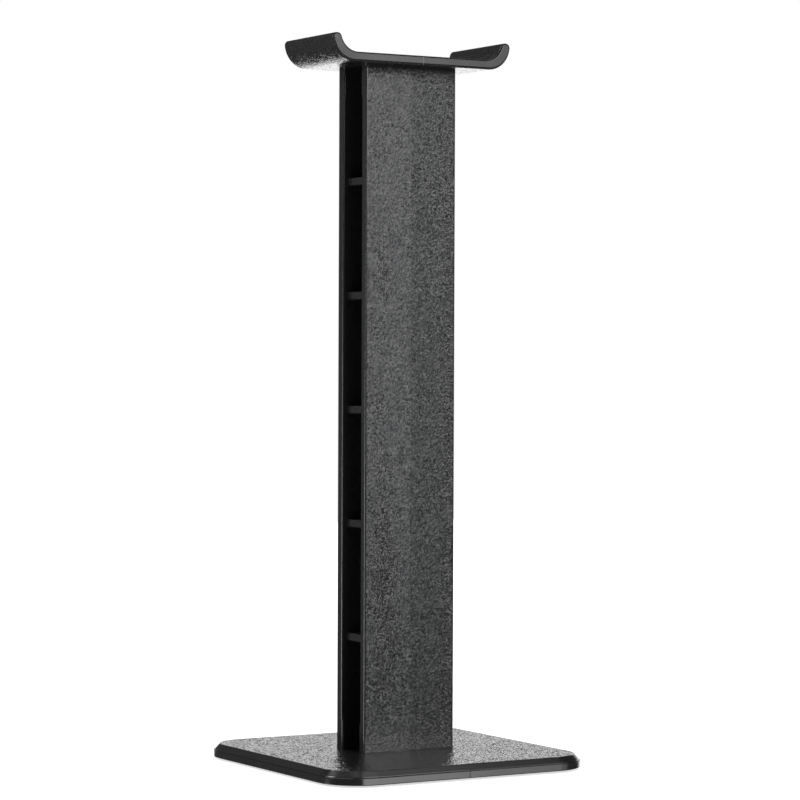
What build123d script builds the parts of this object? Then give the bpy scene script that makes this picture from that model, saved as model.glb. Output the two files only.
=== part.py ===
from build123d import *

import math
import os

# Headphone stand: a weighted square base, an H-section column with cable bays down both
# sides, and a saddle with upturned ends. Millimetres, +Z up, the front faces -Y.
# The origin is on the floor, under the middle of the base.

os.makedirs("parts", exist_ok=True)

# ---- driving dimensions -------------------------------------------------------------
BASE_SIDE = 107.0
BASE_CORNER_R = 15.5
BASE_HEIGHT = 4.85
BAND_HEIGHT = 2.7            # upright band round the base, under the bevel
BEVEL_INSET = 2.3            # from the band to the flat top
BAND_LEDGE = 0.35            # step from the band in to the foot of the bevel
BASE_EDGE_R = 0.3
RIM_WALL = 2.4
COVER_THICK = 1.4
COVER_GAP = 0.1              # all round the cover, inside the rim
WEIGHT_THICK = 1.5
WEIGHT_SIDE = 88.0
WEIGHT_CORNER_R = 10.0
WEIGHT_GAP = 0.1             # above the weight
BLOCK_MARGIN = 4.0           # the block under the column reaches this far past it
BLOCK_CORNER_R = 3.0
WINDOW_MARGIN = 6.0          # the weight's window, past the column
WINDOW_CORNER_R = 5.0

FOOT_DIA = 12.0
FOOT_THICK = 1.4
FOOT_EDGE_R = 0.4
FOOT_PROUD = 0.8             # how far the feet stand below the cover
FOOT_SPREAD = 38.0           # from the middle, both ways

COLUMN_WIDTH = 38.0
COLUMN_LENGTH = 250.0
COLUMN_DEPTH = 20.2          # at the long edges, without the ridges
FRONT_FLANGE = 3.1
REAR_FLANGE = 3.7
RIDGE_RISE = 0.4             # each flange face rises this much to its centre line
WEB_THICK = 3.0
FLANGE_EDGE_R = 0.5
WEB_ROOT_R = 1.0
BAY_COUNT = 6                # bays down each side of the column
RIB_THICK = 2.8
RIB_RECESS = 1.9             # rib faces sit this far in from the flange edges
RIB_EDGE_R = 0.3
END_ZONE = 11.0              # length of the solid block at each end of the column
END_RECESS = 9.0
END_LIP = 0.5                # the flanges are this much thicker beside the end blocks

SEAT_DEPTH = 0.35            # the column stands in a shallow recess in the base
SEAT_GAP = 0.15

SADDLE_WIDTH = 75.0
SADDLE_DEPTH = 36.8
SADDLE_THICK = 3.5
CURL_OUTER_R = 9.0
CURL_INNER_R = 7.2
SADDLE_RISE = 6.5            # of the tips above the flat middle
TIP_R = 1.65
SADDLE_EDGE_R = 0.8

SCREW_PITCH = 12.0           # between the two screws at each end of the column
SCREW_DIA = 3.0
SCREW_HEAD_DIA = 5.6
SCREW_HEAD_HEIGHT = 1.5
SCREW_LENGTH = 12.0
COVER_SCREW_DIA = 2.6
COVER_SCREW_HEAD_DIA = 4.6
COVER_SCREW_HEAD_HEIGHT = 1.0
COVER_SCREW_LENGTH = 4.0
COVER_SCREW_SPREAD = 47.5    # from the middle to each cover screw
BOSS_DIA = 5.4
ACCESS_HOLE_DIA = 7.0        # screwdriver holes in the cover
THREAD_GAP = 0.05            # radial, between a screw and its plain bore
PILOT_SPARE = 0.6            # a screw's bore runs on this far past its tip
RECESS_SLOT = 0.6            # width of the cross recess in a screw head
RECESS_LENGTH = 0.6          # of the recess, as a share of the head's diameter
RECESS_DEPTH = 0.7           # as a share of the head's height
OVERLAP = 0.1                # bodies that join run into each other by this much
PAST = 1.0                   # a cut starts this far outside the surface

# ---- levels, from the floor up ------------------------------------------------------
Z_BASE = FOOT_PROUD
Z_COVER_TOP = Z_BASE + COVER_THICK
Z_CEILING = Z_COVER_TOP + WEIGHT_THICK + WEIGHT_GAP
Z_BAND_TOP = Z_BASE + BAND_HEIGHT
Z_BASE_TOP = Z_BASE + BASE_HEIGHT
Z_COLUMN = Z_BASE_TOP - SEAT_DEPTH
Z_COLUMN_TOP = Z_COLUMN + COLUMN_LENGTH
Z_SADDLE_TOP = Z_COLUMN_TOP + SADDLE_THICK

CORNERS = {
    "front_left": (-1, -1),
    "front_right": (1, -1),
    "rear_right": (1, 1),
    "rear_left": (-1, 1),
}
SIDES = {"front": (0, -1), "right": (1, 0), "rear": (0, 1), "left": (-1, 0)}
SCREW_X = {"left": -SCREW_PITCH / 2, "right": SCREW_PITCH / 2}


def at(x=0.0, y=0.0, z=0.0):
    return Location((x, y, z))


def slab(side_x, side_y, corner_r, z_low, z_high):
    """A flat plate with round corners, between two levels."""
    outline = RectangleRounded(side_x, side_y, corner_r)
    return at(z=z_low) * extrude(outline, z_high - z_low)


def round_bar(radius, z_low, z_high, x=0.0, y=0.0):
    """An upright cylinder between two levels."""
    return at(x, y, (z_low + z_high) / 2) * Cylinder(radius, z_high - z_low)


def edges_at(solid, level, tolerance=0.01):
    """The edges that lie flat at one level."""
    flat = solid.edges().filter_by_position(Axis.Z, level - tolerance, level + tolerance)
    return [edge for edge in flat if edge.length > 1.0]


# ---- screws -------------------------------------------------------------------------
def countersunk_screw(dia, head_dia, head_height, length):
    """Head face at z = 0 looking up, shank pointing down, with a cross recess."""
    head = at(z=-head_height / 2) * Cone(dia / 2, head_dia / 2, head_height)
    tip = dia / 2
    shank = round_bar(dia / 2, -length + tip, -head_height)
    point = at(z=-length + tip / 2) * Cone(dia / 6, dia / 2, tip)
    screw = head + shank + point
    slot_depth = head_height * RECESS_DEPTH
    for turn in (0, 90):
        blade = Box(head_dia * RECESS_LENGTH, RECESS_SLOT, slot_depth)
        screw -= Rot(0, 0, turn) * at(z=-slot_depth / 2) * blade
    return screw


def countersink(dia, head_dia, head_height, depth):
    """The space that a countersunk screw fills, head face at z = 0, with thread gap."""
    radius = dia / 2 + THREAD_GAP
    head_radius = head_dia / 2 + THREAD_GAP
    cone = at(z=-head_height / 2) * Cone(radius, head_radius, head_height)
    return cone + round_bar(radius, -depth, 0)


BIG_SCREW = (SCREW_DIA, SCREW_HEAD_DIA, SCREW_HEAD_HEIGHT)
SMALL_SCREW = (COVER_SCREW_DIA, COVER_SCREW_HEAD_DIA, COVER_SCREW_HEAD_HEIGHT)
PILOT_DEPTH = SCREW_LENGTH + PILOT_SPARE
FROM_BELOW = Rot(180, 0, 0)


# ---- base ---------------------------------------------------------------------------
def make_base_shell():
    band = slab(BASE_SIDE, BASE_SIDE, BASE_CORNER_R, Z_BASE, Z_BAND_TOP)
    band = fillet(edges_at(band, Z_BASE) + edges_at(band, Z_BAND_TOP), BASE_EDGE_R)

    low_side = BASE_SIDE - 2 * BAND_LEDGE
    top_side = BASE_SIDE - 2 * BEVEL_INSET
    low = at(z=Z_BAND_TOP) * RectangleRounded(low_side, low_side, BASE_CORNER_R - BAND_LEDGE)
    top = at(z=Z_BASE_TOP) * RectangleRounded(top_side, top_side, BASE_CORNER_R - BEVEL_INSET)
    bevel = loft([low, top])
    bevel = fillet(edges_at(bevel, Z_BASE_TOP), BASE_EDGE_R)
    shell = band + bevel

    pocket_side = BASE_SIDE - 2 * RIM_WALL
    shell -= slab(pocket_side, pocket_side, BASE_CORNER_R - RIM_WALL, Z_BASE - PAST, Z_CEILING)

    # a solid block under the column takes its screws
    block_x = COLUMN_WIDTH + 2 * BLOCK_MARGIN
    block_y = COLUMN_DEPTH + 2 * BLOCK_MARGIN
    shell += slab(block_x, block_y, BLOCK_CORNER_R, Z_COVER_TOP, Z_CEILING + OVERLAP)

    seat_x = COLUMN_WIDTH + 2 * SEAT_GAP
    seat_y = COLUMN_DEPTH + 2 * (RIDGE_RISE + SEAT_GAP)
    shell -= slab(seat_x, seat_y, FLANGE_EDGE_R, Z_COLUMN, Z_BASE_TOP + PAST)
    for x in SCREW_X.values():
        hole = countersink(*BIG_SCREW, SCREW_LENGTH)
        shell -= at(x, 0, Z_COVER_TOP) * FROM_BELOW * hole

    bore_top = Z_BASE + COVER_SCREW_LENGTH + COVER_GAP
    for dx, dy in SIDES.values():
        x = dx * COVER_SCREW_SPREAD
        y = dy * COVER_SCREW_SPREAD
        shell += round_bar(BOSS_DIA / 2, Z_COVER_TOP, Z_CEILING + OVERLAP, x, y)
        shell -= round_bar(COVER_SCREW_DIA / 2 + THREAD_GAP, Z_BASE, bore_top, x, y)
    return shell


def make_base_weight():
    plate = slab(WEIGHT_SIDE, WEIGHT_SIDE, WEIGHT_CORNER_R, Z_COVER_TOP, Z_COVER_TOP + WEIGHT_THICK)
    window_x = COLUMN_WIDTH + 2 * WINDOW_MARGIN
    window_y = COLUMN_DEPTH + 2 * WINDOW_MARGIN
    return plate - slab(window_x, window_y, WINDOW_CORNER_R, Z_COVER_TOP - PAST, Z_CEILING)


def make_base_cover():
    side = BASE_SIDE - 2 * (RIM_WALL + COVER_GAP)
    cover = slab(side, side, BASE_CORNER_R - RIM_WALL - COVER_GAP, Z_BASE, Z_COVER_TOP)
    for dx, dy in CORNERS.values():
        x = dx * FOOT_SPREAD
        y = dy * FOOT_SPREAD
        cover -= round_bar(FOOT_DIA / 2, Z_BASE - PAST, FOOT_THICK, x, y)
    for x in SCREW_X.values():
        cover -= round_bar(ACCESS_HOLE_DIA / 2, Z_BASE - PAST, Z_COVER_TOP + PAST, x)
    for dx, dy in SIDES.values():
        hole = countersink(*SMALL_SCREW, COVER_THICK + PAST)
        cover -= at(dx * COVER_SCREW_SPREAD, dy * COVER_SCREW_SPREAD, Z_BASE) * FROM_BELOW * hole
    return cover


def make_foot(dx, dy):
    foot = round_bar(FOOT_DIA / 2, 0, FOOT_THICK)
    foot = fillet(edges_at(foot, 0), FOOT_EDGE_R)
    return at(dx * FOOT_SPREAD, dy * FOOT_SPREAD) * foot


# ---- column -------------------------------------------------------------------------
def column_section(lip):
    """Plan of the column: two ridged flanges and a web. lip thickens the flanges inwards."""
    half_w = COLUMN_WIDTH / 2
    half_d = COLUMN_DEPTH / 2
    front_in = -half_d + FRONT_FLANGE + lip
    rear_in = half_d - REAR_FLANGE - lip
    flanges = []
    for edge_y, inner_y, rise in ((-half_d, front_in, -RIDGE_RISE), (half_d, rear_in, RIDGE_RISE)):
        outline = Polyline(
            (-half_w, edge_y), (0, edge_y + rise), (half_w, edge_y),
            (half_w, inner_y), (-half_w, inner_y), close=True,
        )
        flange = make_face(outline)
        corners = [v for v in flange.vertices() if abs(v.X) > 1]
        flanges.append(fillet(corners, FLANGE_EDGE_R))
    web = at(0, (front_in + rear_in) / 2) * Rectangle(WEB_THICK, rear_in - front_in)
    section = flanges[0] + flanges[1] + web
    roots = [v for v in section.vertices() if abs(abs(v.X) - WEB_THICK / 2) < 0.01]
    return fillet(roots, WEB_ROOT_R)


def make_column():
    half_w = COLUMN_WIDTH / 2
    front_in = -COLUMN_DEPTH / 2 + FRONT_FLANGE
    rear_in = COLUMN_DEPTH / 2 - REAR_FLANGE
    gap = rear_in - front_in
    middle_y = (front_in + rear_in) / 2

    column = at(z=Z_COLUMN) * extrude(column_section(0), COLUMN_LENGTH)
    for z in (Z_COLUMN, Z_COLUMN_TOP - END_ZONE):
        column += at(z=z) * extrude(column_section(END_LIP), END_ZONE)
        block = Box(COLUMN_WIDTH - 2 * END_RECESS, gap, END_ZONE)
        column += at(0, middle_y, z + END_ZONE / 2) * block

    rib_reach = half_w - RIB_RECESS
    bay = COLUMN_LENGTH / BAY_COUNT
    for side in (-1, 1):
        for number in range(1, BAY_COUNT):
            rib = Box(rib_reach, gap + 2 * OVERLAP, RIB_THICK)
            outer_face = rib.faces().sort_by(Axis.X)[0 if side < 0 else -1]
            long_edges = [e for e in outer_face.edges() if abs(e.tangent_at(0.5).Y) > 0.9]
            rib = fillet(long_edges, RIB_EDGE_R)
            column += at(side * rib_reach / 2, middle_y, Z_COLUMN + number * bay) * rib

    pilot_r = SCREW_DIA / 2 + THREAD_GAP
    for x in SCREW_X.values():
        column -= round_bar(pilot_r, Z_COLUMN - PAST, Z_COVER_TOP + PILOT_DEPTH, x)
        column -= round_bar(pilot_r, Z_SADDLE_TOP - PILOT_DEPTH, Z_COLUMN_TOP + PAST, x)
    return column


def make_column_screw(x):
    screw = countersunk_screw(*BIG_SCREW, SCREW_LENGTH)
    return at(x, 0, Z_COVER_TOP) * FROM_BELOW * screw


# ---- saddle -------------------------------------------------------------------------
def arc_points(middle_x, bottom_z, radius, top_z):
    """Start, middle and end of an arc that leaves a level line and turns up to top_z."""
    sweep = math.acos(1 - (top_z - bottom_z) / radius)
    points = []
    for turn in (0, sweep / 2, sweep):
        x = middle_x + radius * math.sin(turn)
        points.append((x, 0, bottom_z + radius * (1 - math.cos(turn))))
    return points


def make_saddle():
    tip_z = Z_SADDLE_TOP + SADDLE_RISE
    outer_x = SADDLE_WIDTH / 2 - CURL_OUTER_R
    inner_x = SADDLE_WIDTH / 2 - SADDLE_THICK - CURL_INNER_R
    outer = arc_points(outer_x, Z_COLUMN_TOP, CURL_OUTER_R, tip_z)
    inner = arc_points(inner_x, Z_SADDLE_TOP, CURL_INNER_R, tip_z)

    outline = []
    for side in (-1, 1):
        for arc in (outer, inner):
            outline.append(ThreePointArc(*[(side * x, y, z) for x, y, z in arc]))
        outline.append(Line((side * outer[2][0], 0, tip_z), (side * inner[2][0], 0, tip_z)))
    for half, level in ((outer_x, Z_COLUMN_TOP), (inner_x, Z_SADDLE_TOP)):
        outline.append(Line((-half, 0, level), (half, 0, level)))
    profile = make_face(outline)
    saddle = extrude(profile, SADDLE_DEPTH / 2, both=True)
    tip_edges = [edge for edge in edges_at(saddle, tip_z) if abs(edge.tangent_at(0.5).Y) > 0.9]
    saddle = fillet(tip_edges, TIP_R)
    ends = saddle.faces().filter_by(Axis.Y)
    saddle = fillet([edge for face in ends for edge in face.edges()], SADDLE_EDGE_R)
    for x in SCREW_X.values():
        saddle -= at(x, 0, Z_SADDLE_TOP) * countersink(*BIG_SCREW, SCREW_LENGTH)
    return saddle


def make_saddle_screw(x):
    return at(x, 0, Z_SADDLE_TOP) * countersunk_screw(*BIG_SCREW, SCREW_LENGTH)


def make_cover_screw(dx, dy):
    screw = countersunk_screw(*SMALL_SCREW, COVER_SCREW_LENGTH)
    return at(dx * COVER_SCREW_SPREAD, dy * COVER_SCREW_SPREAD, Z_BASE) * FROM_BELOW * screw


# ---- all the pieces -----------------------------------------------------------------
nodes = {
    "base_shell": make_base_shell(),
    "base_weight": make_base_weight(),
    "base_cover": make_base_cover(),
    "column": make_column(),
    "saddle": make_saddle(),
}
for name, (dx, dy) in CORNERS.items():
    nodes[f"foot_{name}"] = make_foot(dx, dy)
for name, (dx, dy) in SIDES.items():
    nodes[f"cover_screw_{name}"] = make_cover_screw(dx, dy)
for name, x in SCREW_X.items():
    nodes[f"column_screw_{name}"] = make_column_screw(x)
    nodes[f"saddle_screw_{name}"] = make_saddle_screw(x)

for name, solid in nodes.items():
    export_step(solid, f"parts/{name}.step")
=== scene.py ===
import math

import bpy
from mathutils import Matrix, Vector


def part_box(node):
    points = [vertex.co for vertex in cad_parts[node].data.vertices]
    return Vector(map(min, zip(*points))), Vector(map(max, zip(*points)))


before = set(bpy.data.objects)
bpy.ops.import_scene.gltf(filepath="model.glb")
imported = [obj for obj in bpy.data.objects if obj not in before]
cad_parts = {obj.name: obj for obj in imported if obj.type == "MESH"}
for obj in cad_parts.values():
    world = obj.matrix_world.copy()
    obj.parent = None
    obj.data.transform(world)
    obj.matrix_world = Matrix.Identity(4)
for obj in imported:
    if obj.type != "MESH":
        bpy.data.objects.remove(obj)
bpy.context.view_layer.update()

# Headphone stand in black moulded plastic. Every piece is a CAD node; this script gives each
# one its material, and sets the studio. Lengths are in metres.

MM = 0.001

# ---- where things are, from the CAD model --------------------------------------------
base_low, base_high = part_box("base_shell")
column_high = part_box("column")[1]
saddle_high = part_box("saddle")[1]

# ---- camera --------------------------------------------------------------------------
CAMERA_AZIMUTH = math.radians(-30.716)   # it stands to the left of the front
CAMERA_PITCH = math.radians(0.634)       # and looks very slightly down
CAMERA_ROLL = math.radians(-0.211)
CAMERA_DISTANCE = 1.1094
CAMERA_SIDE = 0.0014
CAMERA_HEIGHT = 0.14527                  # above the underside of the base
CAMERA_LENS_MM = 135.64
SENSOR_MM = 36.0


def make_camera():
    ahead = Vector((-math.sin(CAMERA_AZIMUTH), math.cos(CAMERA_AZIMUTH), 0))
    right = Vector((math.cos(CAMERA_AZIMUTH), math.sin(CAMERA_AZIMUTH), 0))
    up = Vector((0, 0, 1))
    place = -ahead * CAMERA_DISTANCE + right * CAMERA_SIDE
    place += up * (CAMERA_HEIGHT + base_low.z)
    view = ahead * math.cos(CAMERA_PITCH) - up * math.sin(CAMERA_PITCH)
    level_up = up * math.cos(CAMERA_PITCH) + ahead * math.sin(CAMERA_PITCH)
    view_right = right * math.cos(CAMERA_ROLL) - level_up * math.sin(CAMERA_ROLL)
    view_up = level_up * math.cos(CAMERA_ROLL) + right * math.sin(CAMERA_ROLL)
    data = bpy.data.cameras.new("camera")
    data.lens = CAMERA_LENS_MM
    data.sensor_width = SENSOR_MM
    data.clip_start = 0.05
    camera = bpy.data.objects.new("camera", data)
    turn = Matrix((view_right, view_up, -view)).transposed()
    camera.matrix_world = Matrix.Translation(place) @ turn.to_4x4()
    bpy.context.scene.collection.objects.link(camera)
    bpy.context.scene.camera = camera


# ---- a short way to write node graphs --------------------------------------------------
class Graph:
    """Adds nodes to one tree. Each method takes sockets or plain numbers and returns a socket."""

    def __init__(self, tree):
        self.tree = tree
        tree.nodes.clear()

    def node(self, kind, settings=None, **inputs):
        node = self.tree.nodes.new(kind)
        for name, value in (settings or {}).items():
            setattr(node, name, value)
        for name, value in inputs.items():
            self.feed(node.inputs[name.replace("_", " ")], value)
        return node

    def feed(self, socket, value):
        if isinstance(value, bpy.types.NodeSocket):
            self.tree.links.new(value, socket)
        else:
            socket.default_value = value

    def math(self, operation, first, second=0.0, third=0.0):
        node = self.node("ShaderNodeMath", {"operation": operation})
        for socket, value in zip(node.inputs, (first, second, third)):
            self.feed(socket, value)
        return node.outputs[0]

    def add(self, *values):
        total = values[0]
        for value in values[1:]:
            total = self.math("ADD", total, value)
        return total

    def times(self, *values):
        total = values[0]
        for value in values[1:]:
            total = self.math("MULTIPLY", total, value)
        return total

    def step(self, value, low, high, out_low=0.0, out_high=1.0):
        """Runs smoothly from out_low to out_high as value goes from low to high."""
        node = self.node("ShaderNodeMapRange", {"interpolation_type": "SMOOTHSTEP"}, Value=value)
        for name, number in (("From Min", low), ("From Max", high),
                             ("To Min", out_low), ("To Max", out_high)):
            self.feed(node.inputs[name], number)
        return node.outputs["Result"]

    def near(self, value, place, half_width):
        """1 where value is at place, falling to 0 at half_width away."""
        distance = self.math("ABSOLUTE", self.math("SUBTRACT", value, place))
        return self.step(distance, half_width, 0.0)

    def mix_color(self, share, first, second):
        node = self.node("ShaderNodeMix", {"data_type": "RGBA"})
        self.feed(node.inputs[0], share)
        self.feed(node.inputs[6], first)
        self.feed(node.inputs[7], second)
        return node.outputs[2]

    def mix(self, share, first, second):
        node = self.node("ShaderNodeMix", {"data_type": "FLOAT"})
        self.feed(node.inputs[0], share)
        self.feed(node.inputs[2], first)
        self.feed(node.inputs[3], second)
        return node.outputs[0]

    def noise(self, place, size, detail=2.0, roughness=0.5):
        """Soft noise from 0 to 1 with features about size metres across."""
        node = self.node("ShaderNodeTexNoise", Vector=place, Scale=1 / size, Detail=detail,
                         Roughness=roughness)
        return node.outputs["Fac"]

    def cells(self, place, size, feature="F1"):
        node = self.node("ShaderNodeTexVoronoi", {"feature": feature}, Vector=place, Scale=1 / size)
        return node.outputs["Distance"]


def new_material(name):
    material = bpy.data.materials.new(name)
    material.use_nodes = True
    return material, Graph(material.node_tree)


def finish_material(graph, color, roughness, normal, **fixed):
    """Principled surface. fixed holds numbers that are the same all over."""
    shader = graph.node("ShaderNodeBsdfPrincipled", Base_Color=color, Roughness=roughness)
    for name, value in fixed.items():
        shader.inputs[name.replace("_", " ")].default_value = value
    if normal is not None:
        graph.feed(shader.inputs["Normal"], normal)
    output = graph.node("ShaderNodeOutputMaterial")
    graph.tree.links.new(shader.outputs[0], output.inputs["Surface"])


# ---- black plastic -----------------------------------------------------------------------
ABS_BLACK = (0.0090, 0.0090, 0.0095, 1.0)
ABS_GRAIN = (0.0120, 0.0120, 0.0124, 1.0)      # the grain scatters a little more light
ABS_SCUFF = (0.060, 0.060, 0.062, 1.0)
ABS_SEAM_HIGHLIGHT = (0.120, 0.120, 0.122, 1.0)          # painted highlight: a thin pale line along the ridge where the mould parts
GRAIN_SIZE = 0.50 * MM
GRAIN_DEPTH = 0.035 * MM
SMOOTH_ROUGHNESS = 0.16
GRAIN_ROUGHNESS = 0.15
GRAIN_TILT = 0.55                              # full range of a grain's random slope
BASE_TILT = 0.44
SADDLE_TILT = 0.40
COLUMN_TILT_LOW = 0.33
COLUMN_TILT_HIGH = 0.48


def grain_height(graph, place):
    """Fine moulded leather grain, from 0 to about 1."""
    pebbles = graph.cells(place, GRAIN_SIZE, "SMOOTH_F1")
    lumps = graph.noise(place, GRAIN_SIZE * 1.5, 1.0)
    return graph.add(graph.times(pebbles, 0.6), lumps)


def facets(graph, place, mask, size, most):
    """A random tilt for each grain, up to half of most each way, as a vector to add to the normal."""
    node = graph.node("ShaderNodeTexVoronoi", {"feature": "F1"}, Vector=place, Scale=1 / size)
    centred = graph.node("ShaderNodeVectorMath", {"operation": "SUBTRACT"})
    graph.feed(centred.inputs[0], node.outputs["Color"])
    centred.inputs[1].default_value = (0.5, 0.5, 0.5)
    tilt = graph.node("ShaderNodeVectorMath", {"operation": "SCALE"})
    graph.feed(tilt.inputs[0], centred.outputs[0])
    graph.feed(tilt.inputs["Scale"], graph.times(mask, most))
    return tilt.outputs[0]


def plastic(name, grain_mask, marks=None, wear=None, seam_highlight=None,
            facet=0.34 * MM, tilt=GRAIN_TILT, shine=0.5):
    """Black plastic, grained where grain_mask says and glossy elsewhere.
    Each function gets the graph and the x, y, z sockets. marks returns a height in metres, wear a
    share from 0 to 1 of edge that handling has dulled, and the seam function the share of a pale
    line, a painted highlight along the ridge where the mould parts.
    facet is the size of a grain, and tilt a number or a function of the graph and z."""
    material, graph = new_material(name)
    place = graph.node("ShaderNodeTexCoord").outputs["Object"]
    split = graph.node("ShaderNodeSeparateXYZ", Vector=place)
    x, y, z = split.outputs
    mask = grain_mask(graph, x, y, z)
    height = grain_height(graph, place)
    most_tilt = tilt(graph, z) if callable(tilt) else tilt

    patches = graph.noise(place, 9 * MM, 3.0)
    smudges = graph.noise(place, 22 * MM, 4.0, 0.6)
    grained = graph.add(graph.times(mask, 0.8), graph.times(patches, 0.3))
    color = graph.mix_color(grained, ABS_BLACK, ABS_GRAIN)

    smooth_rough = graph.add(SMOOTH_ROUGHNESS, graph.times(graph.step(smudges, 0.45, 0.75), 0.07))
    grain_rough = graph.add(GRAIN_ROUGHNESS, graph.times(patches, 0.08))
    rough = graph.mix(mask, smooth_rough, grain_rough)
    if wear is not None:
        patchy = graph.step(graph.noise(place, 1.6 * MM, 4.0, 0.7), 0.52, 0.72)
        worn = graph.times(wear(graph, x, y, z), patchy)
        color = graph.mix_color(graph.times(worn, 0.55), color, ABS_SCUFF)
        rough = graph.mix(graph.times(worn, 0.7), rough, 0.42)
    # painted highlight: a pale line along the mould seam, standing in for light on its ridge
    if seam_highlight is not None:
        color = graph.mix_color(seam_highlight(graph, x, y, z), color, ABS_SEAM_HIGHLIGHT)

    ripple = graph.times(graph.noise(place, 16 * MM, 1.0), 0.030 * MM)
    polish = graph.times(graph.noise(place, 1.1 * MM, 2.0), 0.0012 * MM)
    relief = graph.add(graph.times(mask, height, GRAIN_DEPTH), ripple, polish)
    if marks is not None:
        relief = graph.add(relief, marks(graph, x, y, z))
    bump = graph.node("ShaderNodeBump", Strength=1.0, Distance=1.0, Height=relief)
    tilted = graph.node("ShaderNodeVectorMath", {"operation": "ADD"})
    graph.feed(tilted.inputs[0], bump.outputs[0])
    graph.feed(tilted.inputs[1], facets(graph, place, mask, facet, most_tilt))
    normal = graph.node("ShaderNodeVectorMath", {"operation": "NORMALIZE"})
    graph.feed(normal.inputs[0], tilted.outputs[0])
    finish_material(graph, color, rough, normal.outputs[0], IOR=1.53, Specular_IOR_Level=shine)
    return material


def base_grain(graph, x, y, z):
    return graph.step(z, base_high.z - 0.30 * MM, base_high.z - 0.08 * MM)


def column_grain(graph, x, y, z):
    """The outer faces of both flanges. Their long edges stay glossy."""
    edge_y = column_high.y - 0.62 * MM
    across = graph.step(graph.math("ABSOLUTE", y), edge_y, edge_y + 0.12 * MM)
    half_width = column_high.x - 0.55 * MM
    along = graph.step(graph.math("ABSOLUTE", x), half_width, half_width - 0.15 * MM)
    foot = graph.step(z, base_high.z + 0.20 * MM, base_high.z + 0.45 * MM)
    return graph.times(across, along, foot)


def saddle_grain(graph, x, y, z):
    """Everywhere but the front and rear edge faces."""
    edge_y = saddle_high.y - 0.45 * MM
    return graph.step(graph.math("ABSOLUTE", y), edge_y, edge_y - 0.15 * MM)


def all_grain(graph, x, y, z):
    return graph.add(graph.times(x, 0.0), 1.0)


BAND_TOP = base_low.z + 2.7 * MM
BAND_DRAFT = 0.14                              # slope of the band, for release from the mould
COLUMN_CROWN = 0.034                           # slopes, like BAND_DRAFT
SADDLE_LEAN = 0.03
SADDLE_SPREAD = 0.004
STEP_WIDTH = 0.3 * MM
STEP_DEPTH = 0.09 * MM
GROOVE_WIDTH = 0.28 * MM                       # the fine groove between band and bevel
GROOVE_DEPTH = 0.22 * MM


def base_marks(graph, x, y, z):
    """The band leans in, by a given amount, and has a thin upright step from the mould."""
    lean = graph.times(graph.math("MINIMUM", z, BAND_TOP), -BAND_DRAFT)
    step = graph.step(x, -0.9 * MM, -0.9 * MM + STEP_WIDTH, STEP_DEPTH, 0.0)
    on_sides = graph.step(z, BAND_TOP + 0.2 * MM, BAND_TOP)
    groove = graph.times(graph.near(z, BAND_TOP, GROOVE_WIDTH), -GROOVE_DEPTH)
    return graph.add(lean, graph.times(step, on_sides), groove)


def column_tilt(graph, z):
    """Less tilt toward the foot. This is a choice for the look: it makes the face darker there."""
    return graph.step(z, 10 * MM, 150 * MM, COLUMN_TILT_LOW, COLUMN_TILT_HIGH)


def column_marks(graph, x, y, z):
    """A lean on each half of a flange face, added to the crown of the CAD shape."""
    return graph.times(graph.math("ABSOLUTE", x), -COLUMN_CROWN)


def saddle_marks(graph, x, y, z):
    """A thin step across the middle of the edge faces, which lean away from it both ways and in
    at the top."""
    step = graph.step(x, 0.3 * MM - STEP_WIDTH, 0.3 * MM, 0.0, STEP_DEPTH)
    away = graph.math("ABSOLUTE", graph.math("SUBTRACT", x, 0.3 * MM))
    on_edge = graph.step(graph.math("ABSOLUTE", y), saddle_high.y - 0.3 * MM, saddle_high.y - 0.1 * MM)
    leans = graph.add(step, graph.times(away, -SADDLE_SPREAD), graph.times(z, -SADDLE_LEAN))
    return graph.times(on_edge, leans)


def saddle_seam_highlight(graph, x, y, z):
    """A painted highlight: a thin pale line across the edge faces, along the ridge where the mould
    parts.
    """
    on_edge = graph.step(graph.math("ABSOLUTE", y), saddle_high.y - 0.6 * MM, saddle_high.y - 0.3 * MM)
    return graph.times(on_edge, graph.near(x, 0.15 * MM, 0.25 * MM))


def base_wear(graph, x, y, z):
    foot = graph.near(z, base_low.z, 0.5 * MM)
    ledge = graph.near(z, base_low.z + 3.0 * MM, 0.25 * MM)
    return graph.add(foot, graph.times(ledge, 0.6))


def column_wear(graph, x, y, z):
    corner_x = graph.near(graph.math("ABSOLUTE", x), column_high.x, 0.5 * MM)
    corner_y = graph.near(graph.math("ABSOLUTE", y), column_high.y - 0.4 * MM, 0.7 * MM)
    return graph.times(corner_x, corner_y, 0.7)


def saddle_wear(graph, x, y, z):
    tips = graph.step(z, saddle_high.z - 1.2 * MM, saddle_high.z)
    rims = graph.near(graph.math("ABSOLUTE", y), saddle_high.y, 0.7 * MM)
    return graph.times(graph.add(graph.times(tips, 0.8), graph.times(rims, 0.3)), 0.8)


# ---- rubber and steel ----------------------------------------------------------------------
def rubber(name):
    material, graph = new_material(name)
    place = graph.node("ShaderNodeTexCoord").outputs["Object"]
    dust = graph.step(graph.noise(place, 2.5 * MM, 4.0, 0.65), 0.5, 0.75)
    color = graph.mix_color(dust, (0.018, 0.018, 0.018, 1), (0.045, 0.044, 0.042, 1))
    rough = graph.add(0.72, graph.times(dust, 0.15))
    relief = graph.add(graph.times(graph.noise(place, 0.25 * MM, 2.0), 0.012 * MM),
                       graph.times(graph.cells(place, 0.9 * MM), 0.010 * MM))
    bump = graph.node("ShaderNodeBump", Strength=1.0, Distance=1.0, Height=relief)
    finish_material(graph, color, rough, bump.outputs[0], IOR=1.50)
    return material


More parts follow.
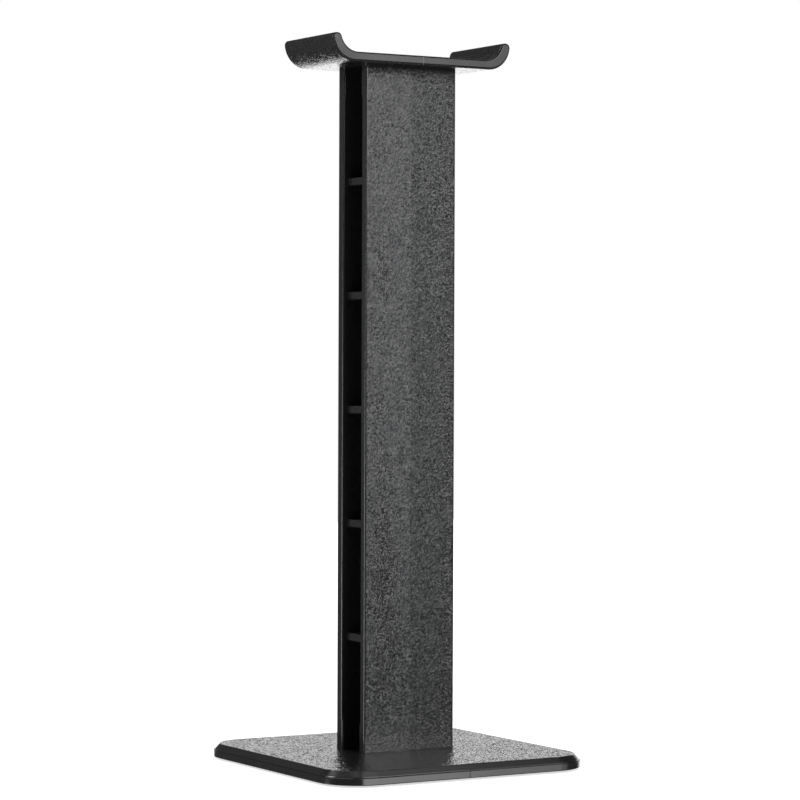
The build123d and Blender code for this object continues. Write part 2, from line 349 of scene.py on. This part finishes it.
def steel(name, color_dark, color_light, roughness, stretch, depth):
    """Plated or rolled steel with fine lines. stretch gives the lines their direction."""
    material, graph = new_material(name)
    place = graph.node("ShaderNodeTexCoord").outputs["Object"]
    stretched = graph.node("ShaderNodeVectorMath", {"operation": "MULTIPLY"})
    graph.feed(stretched.inputs[0], place)
    stretched.inputs[1].default_value = stretch
    lines = graph.noise(stretched.outputs[0], 0.15 * MM, 3.0, 0.6)
    stains = graph.noise(place, 3.0 * MM, 4.0, 0.6)
    color = graph.mix_color(stains, color_dark, color_light)
    rough = graph.add(roughness, graph.times(lines, 0.12), graph.times(stains, 0.08))
    bump = graph.node("ShaderNodeBump", Strength=1.0, Distance=1.0, Height=graph.times(lines, depth))
    finish_material(graph, color, rough, bump.outputs[0], Metallic=1.0)
    return material


# ---- studio ------------------------------------------------------------------------------
# Soft panels round the stand. Angles are in degrees: the direction seen from above, 0 in front
# (-Y) and 90 at the right (+X), its half width, the lowest and highest angle above the floor,
# and the width of the soft edge. The last number is the strength. They were set until the tones
# came close from the camera's angle.
PANELS = [
    (9.7, 22.7, 3.5, 42, 2.2, 4.4),   # key, in front
    (42, 11, 3.5, 42, 4, 1.8),        # the key's dimmer right side
    (136, 26, -4, 14, 8, 1.35),       # backdrop behind the stand
    (140, 34, -15, -3, 5, 2.30),      # the brightly lit table under it
    (134, 30, -40, -15, 6, 1.90),     # and the nearer part of the table
    (60, 54, 55.3, 85, 4, 1.10),      # overhead
    (175, 57, 45, 85, 4, 1.10),       # overhead, further back
    (-70, 62, 77, 89, 4, 1.00),       # overhead, at the left of the middle
    (-70, 62, 40, 77, 6, 0.25),       # and lower down
    (205, 30, -25, 35, 12, 0.09),     # dim panel behind at the left
    (-112, 8, 17, 40, 4, 20.0),       # strip at the left, for edge lights
    (-112, 8, -12, 0, 3, 12.0),       # and its lower part
]
SURROUND = 0.05
BACKGROUND = 1.0
FLOOR_SIZE = 3.0
FLOOR_GLOW = 0.62


def panel_light(graph, heading, height, panel):
    """The strength of one panel in a direction. heading is flat and of unit length, and height is
    the sine of the angle above the floor."""
    azimuth, half_width, low, high, soft, strength = panel
    middle = math.radians(azimuth)
    dot = graph.node("ShaderNodeVectorMath", {"operation": "DOT_PRODUCT"})
    graph.feed(dot.inputs[0], heading)
    dot.inputs[1].default_value = (math.sin(middle), -math.cos(middle), 0)

    def cosine(angle):
        return math.cos(math.radians(angle))

    def sine(angle):
        return math.sin(math.radians(angle))

    across = graph.step(dot.outputs["Value"], cosine(half_width + soft / 2),
                        cosine(half_width - soft / 2))
    above = graph.step(height, sine(low - soft / 2), sine(low + soft / 2))
    below = graph.step(height, sine(high + soft / 2), sine(high - soft / 2))
    return graph.times(across, above, below, strength)


def make_world():
    world = bpy.data.worlds.new("studio")
    bpy.context.scene.world = world
    world.use_nodes = True
    graph = Graph(world.node_tree)
    direction = graph.node("ShaderNodeTexCoord").outputs["Generated"]
    height = graph.node("ShaderNodeSeparateXYZ", Vector=direction).outputs["Z"]
    flat = graph.node("ShaderNodeVectorMath", {"operation": "MULTIPLY"})
    graph.feed(flat.inputs[0], direction)
    flat.inputs[1].default_value = (1, 1, 0)
    heading = graph.node("ShaderNodeVectorMath", {"operation": "NORMALIZE"})
    graph.feed(heading.inputs[0], flat.outputs[0])
    light = SURROUND
    for panel in PANELS:
        light = graph.add(light, panel_light(graph, heading.outputs[0], height, panel))
    seen = graph.node("ShaderNodeLightPath").outputs["Is Camera Ray"]
    strength = graph.mix(seen, light, BACKGROUND)
    background = graph.node("ShaderNodeBackground", Color=(1, 1, 1, 1), Strength=strength)
    output = graph.node("ShaderNodeOutputWorld")
    graph.tree.links.new(background.outputs[0], output.inputs["Surface"])


def make_floor():
    """A plain pale floor. From below it is clear, so that the underside can be seen."""
    half = FLOOR_SIZE / 2
    mesh = bpy.data.meshes.new("floor")
    corners = [(-half, -half, 0), (half, -half, 0), (half, half, 0), (-half, half, 0)]
    mesh.from_pydata(corners, [], [(0, 1, 2, 3)])
    floor = bpy.data.objects.new("floor", mesh)
    bpy.context.scene.collection.objects.link(floor)
    floor.visible_glossy = False

    material, graph = new_material("floor_white")
    back = graph.node("ShaderNodeNewGeometry").outputs["Backfacing"]
    paper = graph.node("ShaderNodeBsdfDiffuse", Color=(0.86, 0.86, 0.86, 1))
    glow = graph.node("ShaderNodeEmission", Color=(1, 1, 1, 1), Strength=FLOOR_GLOW)
    lit = graph.node("ShaderNodeAddShader")
    graph.tree.links.new(paper.outputs[0], lit.inputs[0])
    graph.tree.links.new(glow.outputs[0], lit.inputs[1])
    clear = graph.node("ShaderNodeBsdfTransparent")
    both = graph.node("ShaderNodeMixShader")
    graph.feed(both.inputs[0], back)
    graph.tree.links.new(lit.outputs[0], both.inputs[1])
    graph.tree.links.new(clear.outputs[0], both.inputs[2])
    output = graph.node("ShaderNodeOutputMaterial")
    graph.tree.links.new(both.outputs[0], output.inputs["Surface"])
    mesh.materials.append(material)


# ---- put it together -----------------------------------------------------------------------
def paint(material, *nodes):
    for name in nodes:
        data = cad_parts[name].data
        data.materials.clear()
        data.materials.append(material)


make_camera()
make_world()
make_floor()
bpy.context.scene.view_settings.view_transform = "Standard"

paint(plastic("base_plastic", base_grain, base_marks, base_wear, facet=0.46 * MM, tilt=BASE_TILT),
      "base_shell")
paint(plastic("column_plastic", column_grain, column_marks, column_wear,
              facet=0.24 * MM, tilt=column_tilt, shine=0.64), "column")
# the saddle also gets a painted highlight line along its mould seam
paint(plastic("saddle_plastic", saddle_grain, saddle_marks, saddle_wear, saddle_seam_highlight,
              tilt=SADDLE_TILT, shine=0.35), "saddle")
paint(plastic("cover_plastic", all_grain), "base_cover")
feet = [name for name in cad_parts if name.startswith("foot_")]
screws = [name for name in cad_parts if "_screw_" in name]
paint(rubber("foot_rubber"), *feet)
paint(steel("screw_steel", (0.16, 0.16, 0.17, 1), (0.30, 0.30, 0.31, 1), 0.25, (1, 1, 6), 0.004 * MM),
      *screws)
paint(steel("ballast_steel", (0.32, 0.32, 0.33, 1), (0.5, 0.5, 0.5, 1), 0.35, (0.05, 1, 1), 0.004 * MM),
      "base_weight")
